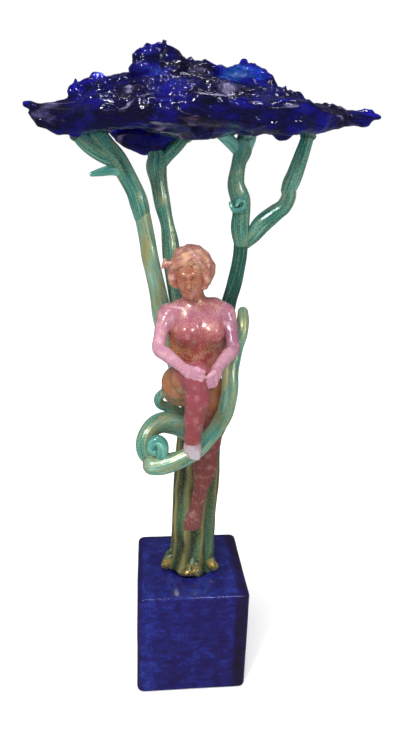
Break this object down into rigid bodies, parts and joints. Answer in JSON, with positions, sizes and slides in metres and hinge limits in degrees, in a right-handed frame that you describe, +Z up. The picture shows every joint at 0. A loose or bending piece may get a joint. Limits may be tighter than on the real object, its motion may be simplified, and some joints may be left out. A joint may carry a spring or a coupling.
{
  "type": "glass tree sculpture",
  "caption": "Hot-worked glass tree: cobalt block, ribbed trunk, forking teal boughs, a small seated figure on a curling branch and a ragged cobalt canopy.",
  "frame": {"origin": "centre of the block's flat underside", "axes": "+Z up; +X to the figure's left, which is the viewer's right; the figure faces -Y"},
  "size_m": [0.2728, 0.167, 0.5445],
  "materials": {
    "cobalt_glass": "polished, deep cobalt, wavy and full of flaws",
    "trunk_glass": "glossy olive glass with gold leaf",
    "bough_glass": "glossy reeded teal glass with gold flecks",
    "aqua_glass": "glossy pale aqua opaline glass",
    "body_glass": "glossy rose and amber glass with gold dust",
    "limb_glass": "glossy pink opaline glass",
    "rose_glass": "glossy dark rose glass",
    "opal_glass": "milky opal glass",
    "clear_bond": "clear cured adhesive"
  },
  "bodies": {
    "root": {"plinth": "cobalt_glass", "trunk_bond": "clear_bond", "trunk": "trunk_glass", "root_left": "trunk_glass", "root_front": "trunk_glass", "root_right": "trunk_glass", "root_back": "trunk_glass", "bough_left_lower": "bough_glass", "bough_left_upper": "bough_glass", "bough_left_spur": "bough_glass", "twig_left": "aqua_glass", "bough_back": "bough_glass", "bough_back_fork": "bough_glass", "bough_right_lower": "bough_glass", "bough_right_upper": "bough_glass", "knot_curl": "aqua_glass", "crown_fork_left": "aqua_glass", "crown_fork_right": "aqua_glass", "bough_fork_lower": "bough_glass", "bough_fork_upper": "bough_glass", "branch_seat": "bough_glass", "branch_loop": "bough_glass", "branch_curl": "aqua_glass", "branch_hip": "bough_glass", "torso": "body_glass", "head": "body_glass", "hair": "body_glass", "hair_flick": "body_glass", "arm_right": "limb_glass", "arm_left": "limb_glass", "leg_crossed": "rose_glass", "foot_crossed": "opal_glass", "leg_standing": "rose_glass", "foot_standing": "opal_glass", "canopy_slab": "cobalt_glass", "canopy_wing_left": "cobalt_glass", "canopy_tail_right": "cobalt_glass", "canopy_crest_left": "cobalt_glass", "canopy_crest_right": "cobalt_glass", "canopy_crest_middle": "cobalt_glass", "canopy_crest_back": "cobalt_glass", "canopy_fold_left": "cobalt_glass", "canopy_fold_right": "cobalt_glass", "canopy_fold_front": "cobalt_glass", "canopy_lobe_under": "cobalt_glass", "canopy_drips": "cobalt_glass", "canopy_bonds": "clear_bond"}
  },
  "joints": []
}
